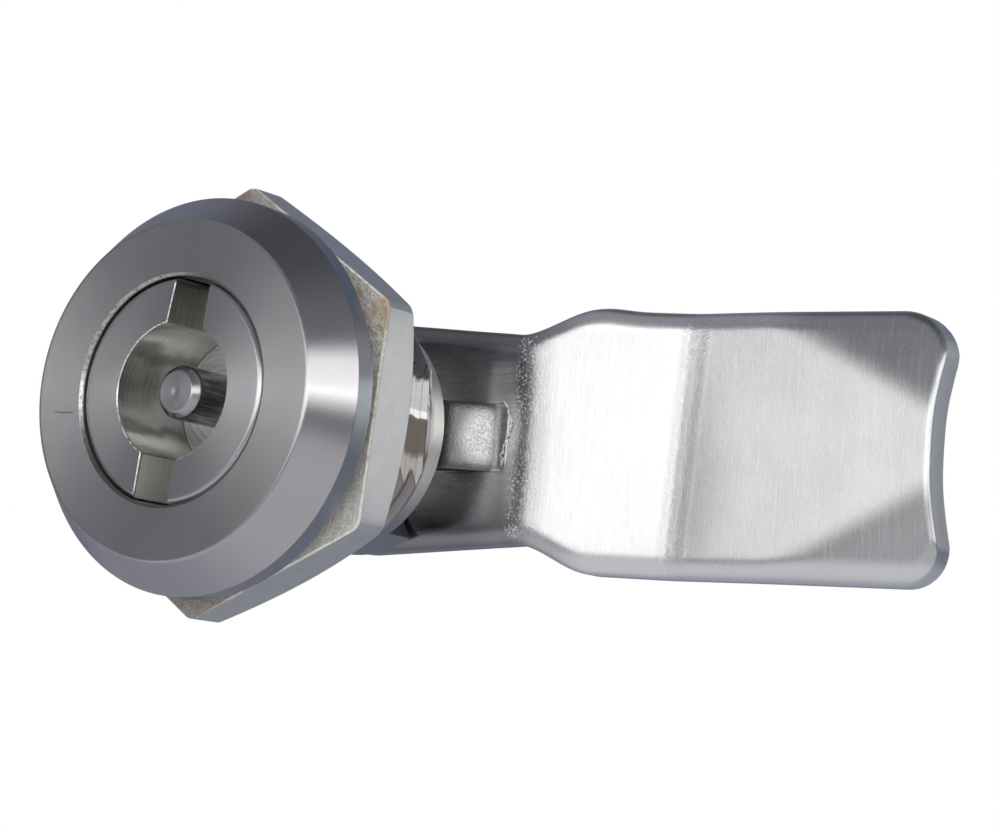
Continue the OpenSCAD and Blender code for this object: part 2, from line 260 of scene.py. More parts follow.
def socketParts(shop, place, colour, roughness, height):  # the key socket's walls are brighter and warmer, with painted glints and painted shade
    k = socketLook
    x, y, z, radius, where = place
    deep = shop.ramp(y, driverLow.y + 0.05, driverLow.y + 0.4)
    floor = shop.ramp(y, k["floorY"] - 0.12, k["floorY"] - 0.03)
    marks = shop.lines(y + 40, 6, 4)  # cutting marks along the slot and round the socket
    arcs = shop.lines(radius + 0.4 * x, 3, 4)
    inSlot = deep * shop.ramp(radius, *k["slotR"])
    tone = shop.grain(shop.vector(x * 0.5, y * 3, z * 0.5), 0.7, 3)
    tone = tone + 0.16 * z * inSlot  # painted light: lighter at the low end
    brushed = shop.ramp(marks, 0.36, 0.64)
    warm = shop.blend(0.5 * tone + 0.5 * brushed, k["wearAndSheen"], k["warm"])
    wave = shop.grain(shop.vector(x, y * 0.6, z), 0.45, 2)
    # painted reflections: glints and dim bands set by the angle round the wall
    around = shop.math("ARCTAN2", -1 * z, -1 * x) * inDegrees  # up from the left side
    around = around + 30 * (wave - 0.5)
    onWall = deep * (1 - inSlot) * (1 - floor)
    paintedHighlight = 0.2 * shop.within(around, *k["upperGlint"]) + shop.within(around, *k["lowerGlint"])
    paintedHighlight = paintedHighlight + 0.8 * shop.within(around, *k["sideGlint"]) * shop.ramp(y, *k["sideY"])
    dim = shop.within(around, *k["upperDim"]) + shop.within(around, *k["lowerDim"])
    dim = dim + shop.ramp(around, *k["bottomDim"])
    warm = shop.blend(0.65 * dim * onWall, warm, k["paintedShade"])
    warm = shop.blend(0.9 * paintedHighlight * onWall, warm, k["glint"])
    low = shop.ramp(y, *k["wallY"]) * (1 - floor)  # painted shade: the wall darkens towards the floor
    warm = shop.blend(0.4 * low + 0.5 * shop.ramp(y, *k["footY"]) * (1 - floor), warm, k["paintedShade"])
    warm = shop.blend(floor, warm, shop.blend(shop.ramp(arcs, 0.35, 0.65), k["floorDark"], k["floor"]))
    colour = shop.blend(deep, colour, warm)
    roughness = roughness + deep * (k["roughness"] - roughness + 0.1 * (marks - 0.5) + 0.12 * floor)
    height = height * (1 - deep) + deep * (3 * marks * (1 - floor) + 12 * arcs * floor)
    paintedEdgeHighlight = shop.within(y, driverLow.y + 0.015, driverLow.y + 0.075, 0.012) * shop.ramp(radius, *k["edgeR"])
    paintedEdgeHighlight = paintedEdgeHighlight * shop.ramp(shop.grain(where, 5, 2), 0.36, 0.5)  # painted highlight along the edges, uneven
    colour = shop.blend(paintedEdgeHighlight, colour, k["glint"])
    metallic = 1 - deep * (0.08 + 0.5 * floor) - 0.5 * paintedEdgeHighlight - 0.2 * onWall * paintedHighlight
    metallic = metallic - 0.25 * inSlot * shop.ramp(z, 2, 5)
    return colour, roughness, height, metallic


nutLook = {
    "flat": (0.86, 0.87, 0.87, 1), "flatDark": (0.6, 0.6, 0.61, 1), "grit": (0.88, 0.86, 0.79, 1),
    "gritDark": (0.55, 0.52, 0.47, 1), "paintedLeftShade": (0.34, 0.3, 0.27, 1), "paintedLowerRightLight": (0.96, 0.95, 0.91, 1),
    "stain": (0.5, 0.33, 0.16, 1), "flatRoughness": 0.4, "outerR": (12.4, 14.5), "outerZ": (1, 7),
    "paintedLeftShadeX": (6, -1), "paintedLowerRightLightX": (3, 8), "paintedLowerRightLightZ": (-2, -8),
}


def nutSteel(name, look, frontY):
    finish, shop = newFinish(name)
    x, y, z = shop.place()
    where = shop.vector(x, y, z)
    onFront = 1 - shop.ramp(y, frontY + 0.12, frontY + 0.26)
    grit = shop.grain(where, 2.4, 3, 0.6)
    fineGrit = shop.grain(where, 6, 2, 0.6)
    patch = shop.grain(where, 0.45, 3)
    outer = shop.ramp((x * x + z * z) ** 0.5, *look["outerR"]) * shop.ramp(z, *look["outerZ"])
    stain = shop.ramp(patch + 0.14 * outer, 0.56, 0.68)
    cast = shop.blend(shop.ramp(0.6 * grit + 0.4 * fineGrit, 0.34, 0.62), look["gritDark"], look["grit"])
    cast = shop.blend(0.7 * stain, cast, look["stain"])
    # painted shade on the front's left side, painted light on its lower right
    cast = shop.blend(0.85 * shop.ramp(x, *look["paintedLeftShadeX"]), cast, look["paintedLeftShade"])
    cast = shop.blend(0.5 * shop.ramp(x, *look["paintedLowerRightLightX"]) * shop.ramp(z, *look["paintedLowerRightLightZ"]), cast, look["paintedLowerRightLight"])
    drawn = shop.grain(shop.vector(x * 0.3, y * 5, z * 0.3), 1, 4, 0.6)  # marks along the bar's flats
    satin = shop.blend(0.5 * drawn + 0.5 * shop.grain(where, 0.8, 4), look["flatDark"], look["flat"])
    colour = shop.blend(onFront, satin, cast)
    roughness = look["flatRoughness"] + 0.16 * (drawn - 0.5) + 0.2 * onFront
    rough = shop.bump(onFront * (grit + 0.4 * fineGrit), 0.12)
    normal = shop.bump((1 - onFront) * (drawn + 0.5 * fineGrit), 0.008, 1, rough)
    shop.metal(colour, roughness, normal, 1 - 0.62 * onFront)
    return finish


stampedLook = {
    "pale": (0.73, 0.74, 0.745, 1), "dark": (0.61, 0.62, 0.63, 1), "glint": (0.88, 0.88, 0.86, 1),
    "tabPale": (0.55, 0.56, 0.57, 1), "tabGrain": (0.4, 0.405, 0.41, 1),
    "tabShade": (0.19, 0.19, 0.195, 1), "tabRoot": (0.4, 0.4, 0.41, 1),
    "shadow": (0.3, 0.3, 0.31, 1), "satin": (0.8, 0.8, 0.8, 1), "paintedHeadEdgeLight": (0.93, 0.94, 0.95, 1),
    "paintedTipShade": (0.5, 0.52, 0.6, 1), "tipX": 44.78, "tipHollow": 0.5, "tipSpan": 43.6,
    "tabX": 10.55, "crease": 24.7, "lean": 0.055,
    "roughness": 0.27, "strokeDepth": 0.0022, "speckDepth": 0.018, "leatherDepth": 0.026,
    "headX": (22.5, 24.5), "neckX": (11.6, 13.0), "creaseZone": (-0.3, 1.3, 0.5),
    "bendZone": (13.2, 15.0, 1.1),
    "tabZoneX": (6.4, 11.8, 0.4), "tabZoneZ": (-2.6, 2.6, 0.1), "tabY": (18.7, 18.85), "rootX": (11.0, 11.7),
    "frontY": (19.2, 19.35), "lightDotX": (13.0, 13.8, 0.6), "darkDotX": (13.8, 14.4, 0.6),
    "paintedNeckShadeX": (8.5, 11.8), "neckEdgeZ": (6.2, 7.0), "neckEdgeX": (12.5, 15.5), "lowerEdgeZ": (-7.6, -8.6),
    "lowerEdgeX": (15, 19), "upperEdgeZ": (7.8, 8.6), "upperEdgeX": (18, 31, 4),
    "paintedNeckLightX": (10.9, 12.3, 0.8), "paintedNeckLightZ": (2.9, 5.0, 1.2),
}


# Strokes run along the neck and across the head; the bends and the tab keep the press tool's grain
def stampedSteel(name, look):
    finish, shop = newFinish(name)
    x, y, z = shop.place()
    where = shop.vector(x, y, z)
    head = shop.ramp(x, *look["headX"])
    neck = 1 - shop.ramp(x, *look["neckX"])
    pastCrease = x - look["lean"] * z - look["crease"]
    creased = shop.within(pastCrease, *look["creaseZone"])
    bends = shop.within(x, *look["bendZone"]) + creased
    onTab = shop.within(x, *look["tabZoneX"]) * shop.within(z, *look["tabZoneZ"])
    onTab = onTab * (1 - shop.ramp(y, *look["tabY"]))
    across = shop.grain(shop.vector(x * 8, y, z * 0.3), 1, 4, 0.65)
    along = shop.grain(shop.vector(x * 0.22, y, z * 5), 1, 4, 0.65)
    speck = shop.grain(where, 7, 2, 0.6)
    leather = shop.grain(where, 5.5, 2, 0.6)
    cloud = shop.grain(where, 0.22, 3)
    strokes = (across + neck * (along - across)) * (1 - onTab) + 0.5 * onTab
    dots = shop.grain(where, 5.8, 1, 0.5)
    onFront = 1 - shop.ramp(y, *look["frontY"])
    lightDots = onFront * shop.within(x, *look["lightDotX"]) * shop.ramp(dots, 0.55, 0.63)
    darkDots = onFront * shop.within(x, *look["darkDotX"]) * shop.ramp(dots, 0.45, 0.39)
    colour = shop.blend(0.5 * cloud + 0.5 * strokes, look["dark"], look["pale"])
    # painted glints along the head's strokes
    colour = shop.blend(0.7 * head * shop.ramp(across, 0.52, 0.75), colour, look["glint"])
    paintedNeckShade = (1 - shop.ramp(x, *look["paintedNeckShadeX"])) * (0.85 + 0.5 * (along - 0.5))  # painted shade: the neck is darker
    colour = shop.blend(paintedNeckShade, colour, look["shadow"])
    fromMid = shop.math("ABSOLUTE", z)
    neckEdge = shop.ramp(fromMid, *look["neckEdgeZ"]) * (1 - shop.ramp(x, *look["neckEdgeX"]))
    # painted shade on the neck's edges
    colour = shop.blend(0.8 * neckEdge, colour, look["shadow"])
    lowerEdge = shop.ramp(z, *look["lowerEdgeZ"]) * shop.ramp(x, *look["lowerEdgeX"])
    paintedHeadEdgeLight = lowerEdge + shop.ramp(z, *look["upperEdgeZ"]) * shop.within(x, *look["upperEdgeX"])
    # painted light on the head's lower and upper edges
    colour = shop.blend(paintedHeadEdgeLight, colour, look["paintedHeadEdgeLight"])
    hollow = look["tipHollow"] * shop.math("MAXIMUM", 1 - z * z / look["tipSpan"], 0)
    atTip = shop.ramp(x + hollow, look["tipX"], look["tipX"] + 0.1)  # the end face, which is bowed in, is painted bluish dark as shade
    colour = shop.blend(0.75 * atTip, colour, look["paintedTipShade"])
    # painted glints and painted shade on the bends' grain: pale specks and dots as glints, dark dots as shade
    colour = shop.blend(0.6 * creased * shop.ramp(speck, 0.5, 0.62), colour, look["glint"])
    colour = shop.blend(0.3 * darkDots, colour, look["shadow"])
    colour = shop.blend(0.85 * lightDots, colour, look["glint"])
    # painted light: a paler, less metallic patch on the neck above the tab's root
    satin = shop.within(x, *look["paintedNeckLightX"]) * shop.within(z, *look["paintedNeckLightZ"])
    satin = satin * (0.6 + 0.8 * (along - 0.5))
    colour = shop.blend(satin, colour, look["satin"])
    fromMiddle = ((x - look["tabX"]) * (x - look["tabX"]) / 2.0 + z * z / 4.4) ** 0.5
    wearAndSheen = shop.ramp(fromMiddle + 0.45 * (leather - 0.5), 1.35, 0.55)  # painted highlight on the tab's middle; round it the tab is painted dark as shade, lighter towards the root
    paintedTabShade = shop.blend(shop.ramp(x, *look["rootX"]), look["tabShade"], look["tabRoot"])
    paintedTabSheen = shop.blend(shop.ramp(leather, 0.42, 0.58), look["tabGrain"], look["tabPale"])
    colour = shop.blend(onTab, colour, shop.blend(wearAndSheen, paintedTabShade, paintedTabSheen))
    roughness = look["roughness"] + 0.14 * (strokes - 0.5) + 0.08 * (cloud - 0.5)
    grainy = shop.bump((0.1 + bends) * speck, look["speckDepth"])
    grainy = shop.bump(onTab * leather, look["leatherDepth"], 1, grainy)
    normal = shop.bump(strokes * (1 - onTab) * (1.2 - bends), look["strokeDepth"], 1, grainy)
    rootShare = onTab * shop.ramp(x, 10.9, 11.5)
    shop.metal(colour, roughness, normal, 1 - 0.3 * satin - 0.5 * rootShare - 0.5 * lightDots)
    return finish


platedLook = {"pale": (0.74, 0.74, 0.75, 1), "dark": (0.5, 0.51, 0.54, 1), "tint": (0.66, 0.6, 0.44, 1)}


def platedSteel(name, look):
    finish, shop = newFinish(name)
    x, y, z = shop.place()
    where = shop.vector(x, y, z)
    cloud = shop.grain(where, 0.5, 4, 0.6)
    fine = shop.grain(where, 4, 3, 0.6)
    colour = shop.blend(cloud, look["dark"], look["pale"])
    colour = shop.blend(0.4 * shop.ramp(fine, 0.5, 0.7), colour, look["tint"])
    shop.metal(colour, 0.3 + 0.14 * (fine + cloud - 1), shop.bump(fine, 0.012))
    return finish


tornLook = {"dark": (0.8, 0.8, 0.79, 1), "pale": (0.97, 0.97, 0.95, 1)}


def tornSteel(name, look):  # torn edges painted pale and partly diffuse, as highlights
    finish, shop = newFinish(name)
    x, y, z = shop.place()
    fleck = shop.grain(shop.vector(x, y, z), 5, 3)
    colour = shop.blend(fleck, look["dark"], look["pale"])
    shop.metal(colour, 0.3 + 0.2 * fleck, shop.bump(fleck, 0.03), 0.35)
    return finish


rubberLook = {"dark": (0.012, 0.012, 0.013, 1), "dust": (0.03, 0.03, 0.03, 1)}


def sealRubber(name, look):
    finish, shop = newFinish(name)
    x, y, z = shop.place()
    dust = shop.grain(shop.vector(x, y, z), 2.0, 4)
    shader = shop.node("ShaderNodeBsdfPrincipled", sockets={
        "Base Color": shop.blend(dust, look["dark"], look["dust"]),
        "Roughness": 0.5 + 0.2 * dust, "Normal": shop.bump(dust, 0.01)})
    shop.node("ShaderNodeOutputMaterial", sockets={"Surface": shader})
    return finish


# Joins sections of equal length into one closed skin
def loft(sections, closedPath=False):
    count = len(sections[0])
    points = [point for section in sections for point in section]
    faces = []
    for i in range(len(sections) if closedPath else len(sections) - 1):
        here, there = i * count, (i + 1) % len(sections) * count
        for j in range(count):
            k = (j + 1) % count
            faces.append((here + j, there + j, there + k, here + k))
    if not closedPath:
        faces.append(tuple(range(count)))
        faces.append(tuple(range(len(points) - 1, len(points) - 1 - count, -1)))
    return points, faces


def joinSkins(skins):
    points, faces = [], []
    for skinPoints, skinFaces in skins:
        start = len(points)
        points += skinPoints
        faces += [tuple(start + i for i in face) for face in skinFaces]
    return points, faces


alongAxis = Matrix.Rotation(math.radians(-90), 4, "X")  # sets a turned piece's own z along the lock's axis


def addPiece(name, skin, body, node, finish, sharpAngle=32, turned=False, torn=None):
    points, faces = joinSkins([skin, torn]) if torn else skin
    mesh = bpy.data.meshes.new(name)
    mesh.from_pydata([Vector(point) * mm for point in points], [], faces)
    if turned:
        mesh.transform(alongAxis.inverted())
    work = bmesh.new()
    work.from_mesh(mesh)
    bmesh.ops.recalc_face_normals(work, faces=work.faces)
    work.to_mesh(mesh)
    work.free()
    mesh.polygons.foreach_set("use_smooth", [True] * len(mesh.polygons))
    mesh.set_sharp_from_angle(angle=math.radians(sharpAngle))
    mesh.materials.append(finish)
    if torn:
        mesh.materials.append(tornFinish)
        whole = len(skin[1])
        mesh.polygons.foreach_set("material_index", [int(i >= whole) for i in range(len(faces))])
    piece = bpy.data.objects.new(name, mesh)
    scene.collection.objects.link(piece)
    if turned:
        piece.matrix_world = alongAxis
    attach(piece, body)
    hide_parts(node)
    return piece


# A thin torn ridge along a path, as left by cutting and lancing
def burr(path, size, seed):
    spots = [Vector(a).lerp(Vector(b), k / 7) for a, b in zip(path, path[1:]) for k in range(7)]
    sections = []
    for i, spot in enumerate(spots[:-1]):
        along = (spots[i + 1] - spot).to_track_quat("Z", "Y")
        wave = noise.noise(Vector((i * 0.83, seed, 0.5)))
        r = size * (0.35 + 0.9 * abs(wave)) * min(1, 0.3 + i / 4, 0.3 + (len(spots) - i) / 4)
        shift = Vector((noise.noise(Vector((i * 0.61, seed, 7.5))) * size * 1.6, 0, 0))
        ring = [Vector((r * math.cos(a), r * math.sin(a), 0)) for a in (k * math.pi / 3 for k in range(6))]
        sections.append([tuple(spot + along @ (point + shift)) for point in ring])
    return loft(sections)


holdFlat = 0.03  # a narrow strip beside each rounding, so that the flat beyond it is shaded flat


# Rounds the corners of a profile; each corner is radius, place along the axis and rounding
def rounded(corners, steps=5):
    out = []
    for i, (r, y, cut) in enumerate(corners):
        here = Vector((r, y))
        if not cut:
            out.append(here)
            continue
        before = (Vector(corners[i - 1][:2]) - here).normalized()
        after = (Vector(corners[(i + 1) % len(corners)][:2]) - here).normalized()
        reach = cut / math.tan(before.angle(after) / 2)
        out.append(here + before * (reach + holdFlat))
        for k in range(steps + 1):
            t = k / steps
            out.append((1 - t) ** 2 * (here + before * reach) + 2 * t * (1 - t) * here
                       + t * t * (here + after * reach))
        out.append(here + after * (reach + holdFlat))
    return out


def onAxis(r, angle, y):  # a point at a radius and an angle from +X towards +Z
    return (r * math.cos(angle), y, r * math.sin(angle))


def ringAt(r, y, count=144):
    return [onAxis(r, 2 * math.pi * i / count, y) for i in range(count)]


def softCorner(value, halfWidth):  # zero, then a straight rise, with a round start
    if value <= -halfWidth:
        return 0.0
    if value >= halfWidth:
        return value
    return (value + halfWidth) ** 2 / (4 * halfWidth)


print("finishes")
driverLow, driverHigh = nodeSpan("driver")
housingFinish = turnedSteel("housing steel", turnedLook, barrelParts)
driverFinish = turnedSteel("driver steel", turnedLook, socketParts)
pinFinish = turnedSteel("pin steel", pinLook, pinParts)
stampedFinish = stampedSteel("stamped steel", stampedLook)
tornFinish = tornSteel("torn steel", tornLook)


# Housing: flange, threaded barrel with two flats, turned end with the stop notch
housingLow, housingHigh = nodeSpan("housing")
housing = {
    "faceR": 11.9, "coneEndY": -1.7, "mouthChamfer": 0.18, "boreR": 8.0, "journalR": 6.05, "seatY": 6.5,
    "threadR": 10.0, "threadEnd": 13.3, "pitch": 1.5, "threadDepth": 0.4, "flatHalf": 9.0, "endR": 8.9,
    "notchY": 15.7, "stopLow": -58.0, "stopHigh": 74.6, "columnStep": 1.25, "fineStep": 0.5, "fineHalf": 50.0,
    "rowsPerTurn": 20, "edgeSoft": 0.05,
}


def threadRadius(angle, y):
    h = housing
    turn = y / h["pitch"] - angle / (2 * math.pi)
    fromCrest = abs(turn - math.floor(turn) - 0.5) * 2
    share = min(max((fromCrest - 0.125) / 0.625, 0), 1)
    runOut = min(max((y - 0.2) / 0.6, 0), 1)
    return h["threadR"] - h["threadDepth"] * share * runOut


def softLeast(a, b, soft):  # the smaller of two sizes, with a small fillet where they cross
    gap = max(soft - abs(a - b), 0) / soft
    return min(a, b) - gap * gap * soft / 4


def housingSection(angle):
    h = housing
    faceY, wallEnd = housingLow.y, housingHigh.y
    rimR = housingHigh.x
    rim = h["mouthChamfer"] + 0.03 * noise.noise(Vector((math.cos(angle), math.sin(angle), 0)) * 40)
    front = rounded([
        (h["boreR"], h["seatY"], 0), (h["boreR"], faceY + rim, 0.05), (h["boreR"] + rim, faceY, 0.06),
        (h["faceR"], faceY, 0.35), (rimR, h["coneEndY"], 0.2), (rimR, 0, 0.25), (h["threadR"] + 0.3, 0, 0)])
    rows = int(h["threadEnd"] / h["pitch"] * h["rowsPerTurn"])
    thread = [(threadRadius(angle, y), y) for y in (h["threadEnd"] * (i + 0.5) / rows for i in range(rows))]
    cone = h["threadR"] - h["endR"]
    end = rounded([
        (h["threadR"] - 0.4, h["threadEnd"], 0), (h["endR"], h["threadEnd"] + cone, 0.2),
        (h["endR"], h["notchY"] - 0.16, 0), (h["endR"], wallEnd, 0.15), (h["journalR"], wallEnd, 0.15),
        (h["journalR"], h["notchY"] - 0.16, 0), (h["journalR"], h["seatY"], 0)])
    inNotch = math.radians(h["stopLow"]) < angle < math.radians(h["stopHigh"])
    flatR = h["flatHalf"] / max(abs(math.cos(angle)), 0.2)
    section = [onAxis(r, angle, y) for r, y in front]
    for r, y in thread + [tuple(point) for point in end]:
        if inNotch and y > h["notchY"]:
            y = h["notchY"] + (y - wallEnd) * 0.02
        section.append(onAxis(softLeast(r, flatR, h["edgeSoft"]), angle, y))
    return section


def housingAngles():
    h = housing
    angles = [-180.0]
    while angles[-1] < 180:
        angles.append(angles[-1] + (h["fineStep"] if abs(angles[-1]) < h["fineHalf"] else h["columnStep"]))
    angles = [a for a in angles if a < 179.9]
    for stop in (h["stopLow"], h["stopHigh"]):
        angles = [a for a in angles if abs(a - stop) > 0.4] + [stop - 0.02, stop + 0.02]
    return [math.radians(a) for a in sorted(angles)]


housingSkin = loft([housingSection(a) for a in housingAngles()], True)
flatBurrPath = [(9.0, 13.4, 4.3), (9.0, 13.5, 2.4), (9.0, 13.45, 1.2), (8.98, 13.5, 0.1)]
stopBurrPath = [(4.5, 15.66, -7.55), (5.0, 15.64, -7.2), (5.5, 15.66, -6.95)]
flatBurr = burr(flatBurrPath, 0.07, 3)
stopBurr = burr(stopBurrPath, 0.11, 5)
addPiece("lockHousing", housingSkin, "body", "housing", housingFinish, turned=True,
         torn=joinSkins([flatBurr, stopBurr]))
print("housing")


# Panel nut: a hexagon with a rough sawn front and a coned back
nutLow, nutHigh = nodeSpan("hex_nut")
nut = {
    "af": 26.8, "turn": -4.0, "slope": 30.0, "boreR": 10.05, "mouth": 0.5, "edge": 0.12, "faceRows": 14,
    "sharpAngle": 20,
}


def nutSection(angle):
    n = nut
    front, back = nutLow.y, nutHigh.y
    half = n["af"] / 2
    sixth = math.radians(60)
    aside = (angle - math.radians(n["turn"]) + sixth / 2) % sixth - sixth / 2
    edgeR = min(half / math.cos(aside), half / math.cos(sixth / 2) - 0.18)
    coneY = back - (edgeR - half) * math.tan(math.radians(n["slope"]))
    section = [onAxis(n["boreR"], angle, front + n["mouth"]), onAxis(n["boreR"] + n["mouth"], angle, front)]
    for i in range(1, n["faceRows"] + 1):
        r = n["boreR"] + n["mouth"] + (edgeR - n["edge"] - n["boreR"] - n["mouth"]) * i / n["faceRows"]
        x, y, z = onAxis(r, angle, front)
        lump = noise.noise(Vector((x, z, 3)) * 0.9) + 0.6 * noise.noise(Vector((x, z, 8)) * 2.6)
        section.append((x, front + 0.04 + 0.045 * lump, z))
    section.append(onAxis(edgeR, angle, front + 0.04 + n["edge"]))
    section.append(onAxis(edgeR, angle, coneY - 0.06))
    section.append(onAxis(edgeR - 0.05, angle, coneY + 0.03))
    section.append(onAxis(half - 0.25, angle, back - 0.05))
    section.append(onAxis(half - 0.5, angle, back))
    section.append(onAxis(n["boreR"] + n["mouth"], angle, back))
    section.append(onAxis(n["boreR"], angle, back - n["mouth"]))
    return section


nutAngles = [math.radians(nut["turn"] + i) for i in range(360)]
addPiece("panelNut", loft([nutSection(a) for a in nutAngles], True), "nut", "hex_nut",
         nutSteel("nut steel", nutLook, nutLow.y), nut["sharpAngle"])
print("nut")


# Driver: two crescents left between the round socket and the cross slot, on a turned core
driver = {
    "r": 7.9, "socketR": 4.85, "slotHalf": 1.6, "depth": 7.3, "lean": 8.0, "edge": 0.07,
    "rimEdge": 0.4, "rimSteps": 8, "steps": 96, "faceRows": 6, "journalR": 6.0, "journalEnd": 18.9,
    "squareHalf": 4.0, "squareR": 5.4, "headEnd": 6.45, "grooveStart": 3.35, "grooveEnd": 5.25,
    "grooveR": 6.6,
}


def crescentSection(side, across, share, drop):
    d = driver
    faceY = driverLow.y
    floorY = faceY + d["depth"] + 0.02
    outer = math.acos(across / d["r"]) * (1 - 2 * share)
    inner = math.acos(across / d["socketR"]) * (1 - 2 * share)
    lean = math.radians(d["lean"])
    e = d["edge"]
    top = faceY + drop

    def spot(r, turn, y):
        p, q = side * r * math.cos(turn), r * math.sin(turn)
        return (p * math.cos(lean) + q * math.sin(lean), y, q * math.cos(lean) - p * math.sin(lean))

    def between(k):  # from the outer edge to the socket's edge, on the face
        t = k / d["faceRows"]
        start = Vector(spot(d["r"] - d["rimEdge"] - holdFlat, outer, top))
        return tuple(start.lerp(Vector(spot(d["socketR"] + e, inner, top)), t))

    shoulder = faceY + max(e, drop) + 0.01
    wall = [spot(d["r"], outer, floorY), spot(d["r"], outer, faceY + d["rimEdge"] + holdFlat)]
    for k in range(d["rimSteps"] + 1):
        a = math.pi / 2 * k / d["rimSteps"]
        r = d["r"] - d["rimEdge"] * (1 - math.cos(a))
        wall.append(spot(r, outer, max(faceY + d["rimEdge"] * (1 - math.sin(a)), top)))
    face = [between(k) for k in range(d["faceRows"] + 1)]
    return wall + face + [spot(d["socketR"], inner, shoulder), spot(d["socketR"], inner, floorY)]


def crescent(side):
    d = driver
    sections = [crescentSection(side, d["slotHalf"], 0, d["edge"])]
    for i in range(d["steps"] + 1):
        sections.append(crescentSection(side, d["slotHalf"] + d["edge"], i / d["steps"], 0))
    sections.append(crescentSection(side, d["slotHalf"], 1, d["edge"]))
    return loft(sections)


def driverCore():
    d = driver
    floorY = driverLow.y + d["depth"]
    rings = [
        (d["r"] - 0.02, floorY), (d["r"], floorY + 0.02), (d["r"], d["grooveStart"]),
        (d["grooveR"], d["grooveStart"]), (d["grooveR"], d["grooveEnd"]), (d["r"], d["grooveEnd"]),
        (d["r"], d["headEnd"]), (d["journalR"], d["headEnd"]), (d["journalR"], d["journalEnd"])]
    return loft([ringAt(r, y) for r, y in rings])


def driverSquare():
    d = driver
    low, high = d["journalEnd"] - 0.5, driverHigh.y
    corner = math.sqrt(d["squareR"] ** 2 - d["squareHalf"] ** 2)
    outline = []
    for k in range(4):
        for a, b in ((d["squareHalf"], -corner), (d["squareHalf"], corner)):
            turn = math.radians(90 * k)
            outline.append((a * math.cos(turn) - b * math.sin(turn), a * math.sin(turn) + b * math.cos(turn)))
    return loft([[(x, y, z) for x, z in outline] for y in (low, high)])


addPiece("keyDriver", joinSkins([crescent(1), crescent(-1), driverCore(), driverSquare()]),
         "turning_set", "driver", driverFinish, turned=True)
print("driver")


# Socket pin: turned tip with a centre mark, relieved foot
pin = {"r": 1.9, "tipR": 1.42, "tipLen": 0.55, "stemR": 1.6, "footY": 2.6, "markR": 0.4, "markDepth": 0.02}


def pinSkin():
    p = pin
    low, high = nodeSpan("socket_pin")
    tip, end = low.y, high.y
    rings = [
        (0.05, tip + p["markDepth"]), (0.5 * p["markR"], tip + 0.6 * p["markDepth"]), (p["markR"], tip),
        (p["markR"] + 0.03, tip), (p["tipR"] - 0.06, tip), (p["tipR"] - 0.03, tip),
        (p["tipR"] + 0.03, tip + 0.03), (p["tipR"] + 0.08, tip + 0.1),
        (p["r"] - 0.1, tip + p["tipLen"] - 0.16),
        (p["r"] - 0.02, tip + p["tipLen"] - 0.02), (p["r"], tip + p["tipLen"] + 0.08),
        (p["r"], tip + p["tipLen"] + 0.12), (p["r"], p["footY"]), (p["stemR"], p["footY"]), (p["stemR"], end)]
    return loft([ringAt(r, y, 96) for r, y in rings])


addPiece("socketPin", pinSkin(), "turning_set", "socket_pin", pinFinish, turned=True)
print("pin")


# Cam: stamped plate, bent twice, with turned-back tip corners, rolled edges and a lanced tab
cam = {
    "t": 2.5, "rootR": 8.65, "neckX": 13.2, "neckHalf": 7.7, "shoulderX": 18.8, "headHalf": 9.6,
    "bendX": 13.7, "creaseX": 24.7, "creaseLean": 0.055, "step": 3.5, "tipR": 3.0, "hollow": 0.5,
    "rampLen": 13.5, "rampGap": 2.7, "rampSlope": 12.0, "frontY": 18.9, "sideRoll": 1.8, "upperRoll": 1.5,
    "sideDrop": 0.95, "tipRoll": 0.5, "tipDrop": 0.4, "backRoll": 0.3, "bendSoft": 0.8, "creaseSoft": 0.9,
    "rampSoft": 1.1, "groove": 0.02, "grooveWidth": 0.25, "swell": 0.05,
    "swellX": 12.3, "swellWidth": 1.0, "lead": 0.7, "upperTipR": 3.9,
    "windowStart": 6.65, "windowEnd": 11.9, "windowHalf": 2.53, "innerRows": 10, "outerRows": 30,
    "sharpAngle": 40,
}
tab = {
    "half": 2.5, "rootX": 11.9, "bendX": 11.5, "flatX": 8.0, "endX": 6.8, "rise": 2.2,
    "sideRoll": 0.9, "sideDrop": 0.2, "endRoll": 0.6, "soft": 0.9,
}
camReach = nodeSpan("cam")[1].x


def tipRadius(upper):
    return cam["upperTipR"] if upper else cam["tipR"]


def camHalf(x, upper=False):  # half width of the outline at a distance from the axis
    c = cam
    if x < 0:
        return math.sqrt(max(c["rootR"] ** 2 - x * x, 0))
    more = 0.0
    if upper:  # the upper shoulder starts sooner and stands a little higher
        more = 0.15 * max(1 - x / 18, 0) + 0.2 * math.exp(-((x - 19) / 1.6) ** 2)
    past = x - (camReach - tipRadius(upper))
    if past > 0:
        return c["headHalf"] - tipRadius(upper) + math.sqrt(max(tipRadius(upper) ** 2 - past * past, 0))
    x += c["lead"] * min(x / 8, 1) if upper else 0
    if x < c["neckX"]:
        return c["rootR"] + (c["neckHalf"] - c["rootR"]) * x / c["neckX"] + more
    share = min((x - c["neckX"]) / (c["shoulderX"] - c["neckX"]), 1)
    return c["neckHalf"] + (c["headHalf"] - c["neckHalf"]) * (1 - math.cos(math.pi * share)) / 2 + more


def camEdgeDistance(x, z):  # how far a point lies inside the outline
    c = cam
    if x < 0:
        return c["rootR"] - math.hypot(x, z)
    r = tipRadius(z > 0)
    side = camHalf(min(x, camReach - r), z > 0) - abs(z)
    past, out = x - (camReach - r), abs(z) - (c["headHalf"] - r)
    if past > 0 and out > 0:
        return r - math.hypot(past, out)
    return min(side, camReach - x)


